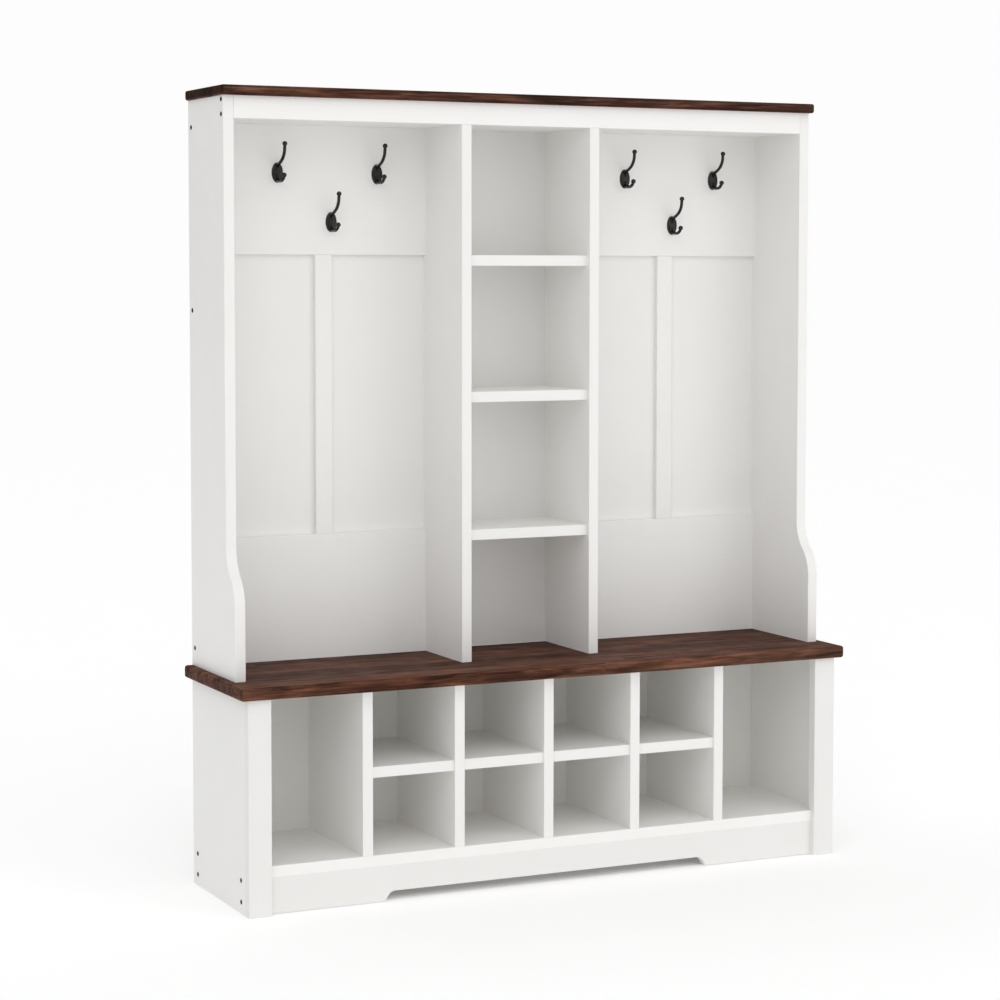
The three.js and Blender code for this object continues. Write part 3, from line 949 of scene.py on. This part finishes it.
@dataclass
class Hutch:
    """The hutch: swept sides, a centre column with shelves, rails, a ceiling and bay backs."""

    workshop: Workshop
    sweep_start: float = 0.672
    sweep_end: float = 0.804
    sweep_steps: int = 16
    shelf_count: int = 3
    rebate_height: float = 0.012

    def build(self) -> None:
        """Makes every painted board of the hutch."""
        for side in Side:
            self.side(side)
            self.workshop.board(f"hutch_upright_{side.word}", Axis.Z,
                                [Face.TOP, Face.UNDER, Face.REAR])
            self.bay(side)
        for number in range(1, self.shelf_count + 1):
            self.workshop.board(f"centre_shelf_{number}", Axis.X,
                                [Face.LEFT, Face.RIGHT, Face.REAR])
        self.workshop.board("centre_back_panel", Axis.Z, list(Face), Coat.CENTRE_PANEL)
        self.workshop.board("top_rail_front", Axis.X,
                            [Face.LEFT, Face.RIGHT, Face.TOP, Face.REAR], Coat.BRIGHT_BOARD)
        self.workshop.board("top_rail_rear", Axis.X, [Face.LEFT, Face.RIGHT, Face.TOP, Face.UNDER])
        self.workshop.board("ceiling_panel", Axis.X, list(Face))

    def side(self, side: Side) -> None:
        """Makes one side: its front edge runs down, sweeps forward in an S and ends in a foot.

        Args:
            side: Which side.
        """
        node = f"hutch_side_{side.word}"
        low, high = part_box(node)
        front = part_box("top_rail_front")[0].y
        rise = self.sweep_end - self.sweep_start
        reach = front - low.y
        radius = (rise * rise + reach * reach) / (4 * reach)
        sweep = 2 * math.atan2(reach, rise)
        upper = arc((front - radius, self.sweep_end), radius, 0.0, -sweep, self.sweep_steps)
        lower = arc((low.y + radius, self.sweep_start), radius, math.pi - sweep, sweep,
                    self.sweep_steps)
        outline = [(high.y, low.z), (high.y, high.z), (front, high.z), *upper, *lower[1:],
                   (low.y, low.z)]
        self.workshop.shaped_board(node, outline, Axis.X, Axis.Z, [Face.TOP, Face.UNDER])

    def bay(self, side: Side) -> None:
        """Makes the back of one bay: a hook board, a lower board, a thin panel and a batten.

        Args:
            side: Which bay.
        """
        shop = self.workshop
        panel_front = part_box(f"bay_panel_{side.word}")[0].y
        for node, at_top in ((f"hook_board_{side.word}", False),
                             (f"lower_back_board_{side.word}", True)):
            low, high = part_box(node)
            cut, full = (high.z, low.z) if at_top else (low.z, high.z)
            step = cut + (-self.rebate_height if at_top else self.rebate_height)
            outline = [(low.y, full), (high.y, full), (high.y, step), (panel_front, step),
                       (panel_front, cut), (low.y, cut)]
            butted = [Face.LEFT, Face.RIGHT, Face.REAR, Face.UNDER if at_top else Face.TOP]
            shop.shaped_board(node, outline, Axis.X, Axis.X, butted)
        shop.board(f"bay_panel_{side.word}", Axis.Z, list(Face), Coat.PANEL)
        shop.board(f"back_batten_{side.word}", Axis.Z, [Face.TOP, Face.UNDER, Face.REAR])


# ---- Hooks and screws ----------------------------------------------------------------------


@dataclass
class CoatHook:
    """A double coat hook: one casting with a plate, a long upper prong and a short lower one."""

    workshop: Workshop
    plate_width: float = 0.0275
    plate_height: float = 0.0465
    plate_thickness: float = 0.004
    rim: float = 0.0016
    dome: float = 0.0034
    dome_power: float = 0.62
    dome_softness: float = 3.0
    dome_swell: float = 1.06
    upper: Outline = field(default_factory=lambda: [
        (0.002, 0.017), (0.019, 0.022), (0.036, 0.031), (0.0475, 0.045), (0.051, 0.064)])
    lower: Outline = field(default_factory=lambda: [
        (0.002, -0.017), (0.017, -0.0195), (0.031, -0.019), (0.041, -0.014), (0.0455, -0.007)])
    shaft_radius: float = 0.0037
    root_flare: float = 0.0016
    flare_length: float = 0.0045
    ball_radius: float = 0.0058
    segments: int = 28
    rings: int = 10
    shaft_step: float = 0.0014
    ball_rings: int = 12

    def build(self, count: int) -> None:
        """Casts one hook and fits a copy at each place.

        Args:
            count: How many hooks the frame has.
        """
        casting = self.plate()
        for path in (self.upper, self.lower):
            casting = combined(casting, self.prong(path), "UNION")
        for number in range(1, count + 1):
            node = f"coat_hook_{number}"
            low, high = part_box(node)
            place = Vector(((low.x + high.x) / 2, high.y, low.z + self.plate_height / 2))
            copy = turn(casting.copy(), Matrix.Translation(place))
            self.workshop.finish(copy, f"finished_{node}", Coat.IRON, Axis.Z, node)
        casting.free()

    def plate(self) -> bmesh.types.BMesh:
        """Shapes the oval plate: a low wall, a rounded shoulder and a flat-topped dome."""
        body = bmesh.new()
        rings = [self.oval(body, 1.0, 0.0), self.oval(body, 1.0, self.rim * 0.5)]
        for step in range(1, self.rings + 1):
            share = math.cos(step / self.rings * math.pi / 2)
            if step == self.rings:
                rings.append([body.verts.new((0.0, -self.height(0.0), 0.0))])
            else:
                rings.append(self.oval(body, share, self.height(share)))
        back = body.verts.new((0.0, 0.0, 0.0))
        skin(body, [[back], *rings], self.segments)
        return body

    def oval(self, body: bmesh.types.BMesh, share: float, out: float) -> list:
        """One ring of the plate.

        Args:
            body: The plate.
            share: The ring's size, as a share of the rim's.
            out: How far it stands out from the wall.

        Returns:
            The ring's points.
        """
        ring = []
        for step in range(self.segments):
            angle = 2 * math.pi * step / self.segments
            ring.append(body.verts.new((
                share * self.plate_width / 2 * math.cos(angle), -out,
                share * self.plate_height / 2 * math.sin(angle))))
        return ring

    def height(self, share: float) -> float:
        """How far the plate's face stands out, at a share of the way from middle to rim."""
        dome = self.rim * 0.5 + (self.rim * 0.5 + self.dome) * (1 - share ** 2) ** self.dome_power
        soft = self.dome_softness
        limit = self.plate_thickness
        return dome * limit / (dome ** soft + limit ** soft) ** (1 / soft) * self.dome_swell

    def prong(self, path: Outline) -> bmesh.types.BMesh:
        """Shapes a prong: flared at its root, even along its shaft, with a ball at its end.

        Args:
            path: Points that it follows, as pairs of out and up.

        Returns:
            The prong.
        """
        line = self.smooth(path)
        length = line[-1][0]
        neck = math.sqrt(self.ball_radius ** 2 - self.shaft_radius ** 2)
        shaft_end = length - neck
        steps = round(shaft_end / self.shaft_step)
        stations = []
        for step in range(steps):
            run = shaft_end * step / steps
            flare = self.root_flare * math.exp(-(run / self.flare_length) ** 1.4)
            stations.append((run, self.shaft_radius + flare))
        first = math.acos(-neck / self.ball_radius)
        for step in range(self.ball_rings):
            angle = first * (1 - step / self.ball_rings)
            stations.append((length + self.ball_radius * math.cos(angle),
                             self.ball_radius * math.sin(angle)))
        body = bmesh.new()
        rings = [self.station(body, line, run, radius) for run, radius in stations]
        rings.append(self.station(body, line, length + self.ball_radius, 0.0))
        rings.insert(0, self.station(body, line, 0.0, 0.0))
        skin(body, rings, self.segments)
        return body

    def smooth(self, path: Outline, fineness: int = 24) -> list[tuple[float, Vector]]:
        """A smooth line through the path's points.

        Args:
            path: Pairs of out and up.
            fineness: How many steps lie between two points.

        Returns:
            Pairs of the distance along the line and the point there.
        """
        points = [Vector((0.0, -out, up)) for out, up in path]
        padded = [2 * points[0] - points[1], *points, 2 * points[-1] - points[-2]]
        line = [points[0]]
        for before, start, end, after in zip(padded, padded[1:], padded[2:], padded[3:]):
            for step in range(1, fineness + 1):
                t = step / fineness
                line.append(0.5 * (2 * start + (end - before) * t
                                   + (2 * before - 5 * start + 4 * end - after) * t * t
                                   + (3 * start - before - 3 * end + after) * t ** 3))
        measured = [(0.0, line[0])]
        for point in line[1:]:
            run, last = measured[-1]
            measured.append((run + (point - last).length, point))
        return measured

    def station(self, body: bmesh.types.BMesh, line: list, run: float, radius: float) -> list:
        """One ring across a prong.

        Args:
            body: The prong.
            line: The prong's line, as smooth gives it.
            run: How far along the line the ring is; past its end it goes straight on.
            radius: The ring's radius; at 0 it is one point.

        Returns:
            The ring's points.
        """
        index = next((n for n, (reached, _) in enumerate(line) if reached >= run), len(line) - 1)
        index = max(index, 1)
        (low, start), (_, end) = line[index - 1], line[index]
        ahead = (end - start).normalized()
        middle = start + ahead * (run - low)
        if radius <= 0.0:
            return [body.verts.new(middle)]
        sideways = Vector((1.0, 0.0, 0.0))
        upward = ahead.cross(sideways)
        ring = []
        for step in range(self.segments):
            angle = 2 * math.pi * step / self.segments
            offset = sideways * math.cos(angle) + upward * math.sin(angle)
            ring.append(body.verts.new(middle + radius * offset))
        return ring


@dataclass
class Screw:
    """A round-head screw with a pressed drive, made with its head towards +Z."""

    head_radius: float
    head_height: float
    shank_radius: float
    shank_length: float
    recess: Recess
    recess_size: float
    segments: int = 32
    crown_steps: int = 6
    lip_share: float = 0.25
    drive_share: float = 0.65
    arm_share: float = 0.13

    def body(self) -> bmesh.types.BMesh:
        """Shapes the screw, its head resting on z = 0."""
        lip = self.head_height * self.lip_share
        profile: Outline = [(0.0, -self.shank_length),
                            (self.shank_radius, -self.shank_length + self.shank_radius),
                            (self.shank_radius, 0.0), (self.head_radius, 0.0)]
        for step in range(self.crown_steps + 1):
            angle = math.pi / 2 * step / self.crown_steps
            radius = self.head_radius * math.cos(angle)
            profile.append((radius if step < self.crown_steps else 0.0,
                            lip + (self.head_height - lip) * math.sin(angle)))
        head = turned(profile, self.segments)
        return combined(head, self.punch(), "DIFFERENCE")

    def punch(self) -> bmesh.types.BMesh:
        """Shapes the punch that presses the drive into the head."""
        depth = self.head_height * self.drive_share
        low, high = self.head_height - depth, self.head_height + depth
        if self.recess is Recess.HEX:
            outline = arc((0.0, 0.0), self.recess_size / 2, 0.0, 2 * math.pi, 6)[:-1]
            return carried(outline, Axis.Z, low, high)
        arm, half = self.recess_size / 2, self.recess_size * self.arm_share
        quarter = [(arm, -half), (arm, half), (half, half)]
        outline = []
        for turns in range(4):
            c, s = round(math.cos(turns * math.pi / 2)), round(math.sin(turns * math.pi / 2))
            outline += [(c * x - s * y, s * x + c * y) for x, y in quarter]
        return carried(outline, Axis.Z, low, high)


@dataclass
class HookScrews:
    """The two screws that hold each coat hook."""

    workshop: Workshop
    screw: Screw = field(default_factory=lambda: Screw(
        0.0038, 0.0018, 0.0020, 0.0140, Recess.CROSS, 0.0044))

    def build(self, count: int) -> None:
        """Makes every hook screw.

        Args:
            count: How many hooks the frame has.
        """
        pattern = self.screw.body()
        chance = random.Random("hook_screws")
        for number in range(1, count + 1):
            for place in ("upper", "lower"):
                node = f"hook_screw_{number}_{place}"
                low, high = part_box(node)
                seat = Vector(((low.x + high.x) / 2, low.y + self.screw.head_height,
                               (low.z + high.z) / 2))
                facing = Matrix.Rotation(math.pi / 2, 4, "X")
                twist = Matrix.Rotation(chance.uniform(0, math.pi / 2), 4, "Z")
                copy = turn(pattern.copy(), Matrix.Translation(seat) @ facing @ twist)
                self.workshop.finish(copy, f"finished_{node}", Coat.SCREW, Axis.X, node)
        pattern.free()


@dataclass
class SideScrews:
    """The dark round heads on the outside of both sides, where rails and backs are held."""

    workshop: Workshop
    rail_inset: float = 0.0088
    rear_inset: float = 0.022
    rear_heights: tuple[float, ...] = (0.551, 1.324, 1.737)
    screw: Screw = field(default_factory=lambda: Screw(
        0.0054, 0.0016, 0.0032, 0.0180, Recess.HEX, 0.0048))

    def places(self) -> list[tuple[float, float]]:
        """The screws' places on a side, as pairs of depth and height."""
        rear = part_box("hutch_side_left")[1].y - self.rear_inset
        found = [(rear, height) for height in self.rear_heights]
        for rail in ("top_rail_front", "plinth_rail_front", "plinth_rail_rear"):
            low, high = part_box(rail)
            middle = (low.y + high.y) / 2
            found += [(middle, low.z + self.rail_inset), (middle, high.z - self.rail_inset)]
        return found

    def build(self) -> None:
        """Makes the screws of both sides."""
        pattern = self.screw.body()
        chance = random.Random("side_screws")
        for side in Side:
            outer = abs(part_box(f"base_side_{side.word}")[(side.value + 1) // 2].x)
            for number, (y, z) in enumerate(self.places(), 1):
                facing = Matrix.Rotation(side.value * math.pi / 2, 4, "Y")
                twist = Matrix.Rotation(chance.uniform(0, math.pi / 3), 4, "Z")
                seat = Matrix.Translation((side.value * outer, y, z))
                copy = turn(pattern.copy(), seat @ facing @ twist)
                self.workshop.finish(copy, f"side_screw_{side.word}_{number}", Coat.SCREW)
        pattern.free()


# ---- Studio --------------------------------------------------------------------------------


@dataclass(frozen=True)
class SoftLamp:
    """A square soft lamp, which the camera doesn't see."""

    name: str
    place: Triple
    power: float
    size: float = 2.4
    target: Triple = (0.0, 0.0, 1.0)

    def hang(self) -> None:
        """Adds the lamp, facing its target."""
        data = bpy.data.lights.new(self.name, "AREA")
        data.size = self.size
        data.energy = self.power
        lamp = bpy.data.objects.new(self.name, data)
        lamp.location = self.place
        ahead = Vector(self.target) - Vector(self.place)
        lamp.rotation_euler = ahead.to_track_quat("-Z", "Y").to_euler()
        lamp.visible_camera = False
        bpy.context.scene.collection.objects.link(lamp)


@dataclass
class Studio:
    """The camera, the floor and the soft light around the object."""

    camera_place: Triple = (-2.6593, -5.5254, 1.4176)
    yaw: float = 25.934
    pitch: float = -3.990
    roll: float = 0.0859
    lens: float = 94.30
    sensor: float = 36.0
    shift: Span = (-0.0336, -0.0477)
    floor_half: float = 30.0
    backdrop: float = 0.982
    sky: tuple[tuple[Face, float], ...] = (
        (Face.LEFT, 0.35), (Face.RIGHT, 0.10), (Face.FRONT, 0.66), (Face.REAR, 0.08),
        (Face.TOP, 0.89))
    lamps: tuple[SoftLamp, ...] = (
        SoftLamp("left_softbox", (-2.4, -3.6, 3.4), 15.0),
        SoftLamp("high_softbox", (1.8, -3.6, 3.4), 5.0),
        SoftLamp("right_softbox", (2.8, -4.2, 1.2), 17.0))
    diffuse_bounces: int = 10

    def build(self) -> None:
        """Sets up the whole studio."""
        self.camera()
        self.floor()
        self.light()

    def camera(self) -> None:
        """Places the camera and makes it the scene's own."""
        data = bpy.data.cameras.new("studio_camera")
        data.sensor_width = self.sensor
        data.lens = self.lens
        data.shift_x, data.shift_y = self.shift
        data.dof.use_dof = False
        camera = bpy.data.objects.new("studio_camera", data)
        camera.location = self.camera_place
        level = Euler((math.radians(90 + self.pitch), 0.0, math.radians(-self.yaw))).to_matrix()
        camera.rotation_euler = (level @ Matrix.Rotation(math.radians(self.roll), 3, "Z")).to_euler()
        bpy.context.scene.collection.objects.link(camera)
        bpy.context.scene.camera = camera

    def floor(self) -> None:
        """Lays the floor, with a grid of its own so that it is never one bare face."""
        body = bmesh.new()
        bmesh.ops.create_grid(body, x_segments=12, y_segments=12, size=self.floor_half)
        mesh = bpy.data.meshes.new("studio_floor")
        body.to_mesh(mesh)
        body.free()
        mesh.materials.append(FloorFinish("studio_floor").material())
        floor = bpy.data.objects.new("studio_floor", mesh)
        bpy.context.scene.collection.objects.link(floor)

    def light(self) -> None:
        """Sets the sky and hangs the lamps; to the camera the sky is a plain white backdrop."""
        scene = bpy.context.scene
        scene.world = bpy.data.worlds.new("studio_sky")
        nodes = Nodes(scene.world)
        way = nodes.add("ShaderNodeTexCoord").outputs["Generated"]
        strength: object = 0.0
        for face, brightness in self.sky:
            toward = nodes.add("ShaderNodeVectorMath", {0: way, 1: face.value},
                               operation="DOT_PRODUCT").outputs["Value"]
            facing = nodes.maths("MAXIMUM", toward, 0.0)
            strength = nodes.maths("MULTIPLY_ADD", facing, brightness, strength)
        seen = nodes.add("ShaderNodeLightPath").outputs["Is Camera Ray"]
        shown = nodes.add("ShaderNodeMix", {0: seen, 2: strength, 3: self.backdrop}).outputs[0]
        sky = nodes.add("ShaderNodeBackground", {"Color": WHITE, "Strength": shown})
        nodes.add("ShaderNodeOutputWorld", {"Surface": sky.outputs[0]})
        scene.view_settings.view_transform = "Standard"
        scene.cycles.diffuse_bounces = self.diffuse_bounces
        for lamp in self.lamps:
            lamp.hang()


# ---- The whole object ----------------------------------------------------------------------


def coats() -> dict[Coat, bpy.types.Material]:
    """Mixes every coat. Every white but BOARD's is the same paint made lighter or darker: painted
    light and painted shade that even out the studio's light from board to board.
    """
    finishes = {
        Coat.BOARD: PaintFinish,
        # Shades above 1 are painted light, shades below 1 painted shade.
        Coat.BRIGHT_BOARD: partial(PaintFinish, shade=1.045),
        Coat.SOFT_BOARD: partial(PaintFinish, shade=0.955),
        Coat.PANEL: partial(PaintFinish, shade=0.98, grain_depth=0.00003),
        Coat.CENTRE_PANEL: partial(PaintFinish, shade=0.90, grain_depth=0.00003),
        Coat.WALNUT: WalnutFinish,
        # The top board's edge value darkens its eased edges; its shade makes the whole board lighter
        # than the bench.
        Coat.DARK_ENDED_WALNUT: partial(
            WalnutFinish, shade=1.34, edge=(0.55, 0.52, 0.50, 1.0), end=(0.18, 0.15, 0.12, 1.0)),
        Coat.IRON: IronFinish,
        Coat.SCREW: partial(IronFinish, metallic=0.6, grit_depth=0.00001),
    }
    return {coat: finish(coat.value[1]).material() for coat, finish in finishes.items()}


def report(name: str, workshop: Workshop, build: Callable[[], None]) -> None:
    """Builds one sub-assembly and logs its pieces.

    Args:
        name: The sub-assembly's name.
        workshop: The workshop that fits its pieces.
        build: What builds it.
    """
    before = len(workshop.fitted)
    build()
    for piece in workshop.fitted[before:]:
        LOG.info("%s: %s", name, piece)


def main() -> None:
    """Builds the studio and the object's sub-assemblies in order."""
    logging.basicConfig(level=logging.INFO, format="%(name)s %(message)s")
    Studio().build()
    workshop = Workshop(coats())
    hook_count = sum(name.startswith("coat_hook_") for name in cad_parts)
    report("base", workshop, StorageBase(workshop).build)
    report("walnut", workshop, WalnutBoards(workshop).build)
    report("hutch", workshop, Hutch(workshop).build)
    report("hooks", workshop, lambda: CoatHook(workshop).build(hook_count))
    report("hook screws", workshop, lambda: HookScrews(workshop).build(hook_count))
    report("side screws", workshop, SideScrews(workshop).build)


if __name__ == "__main__":
    main()
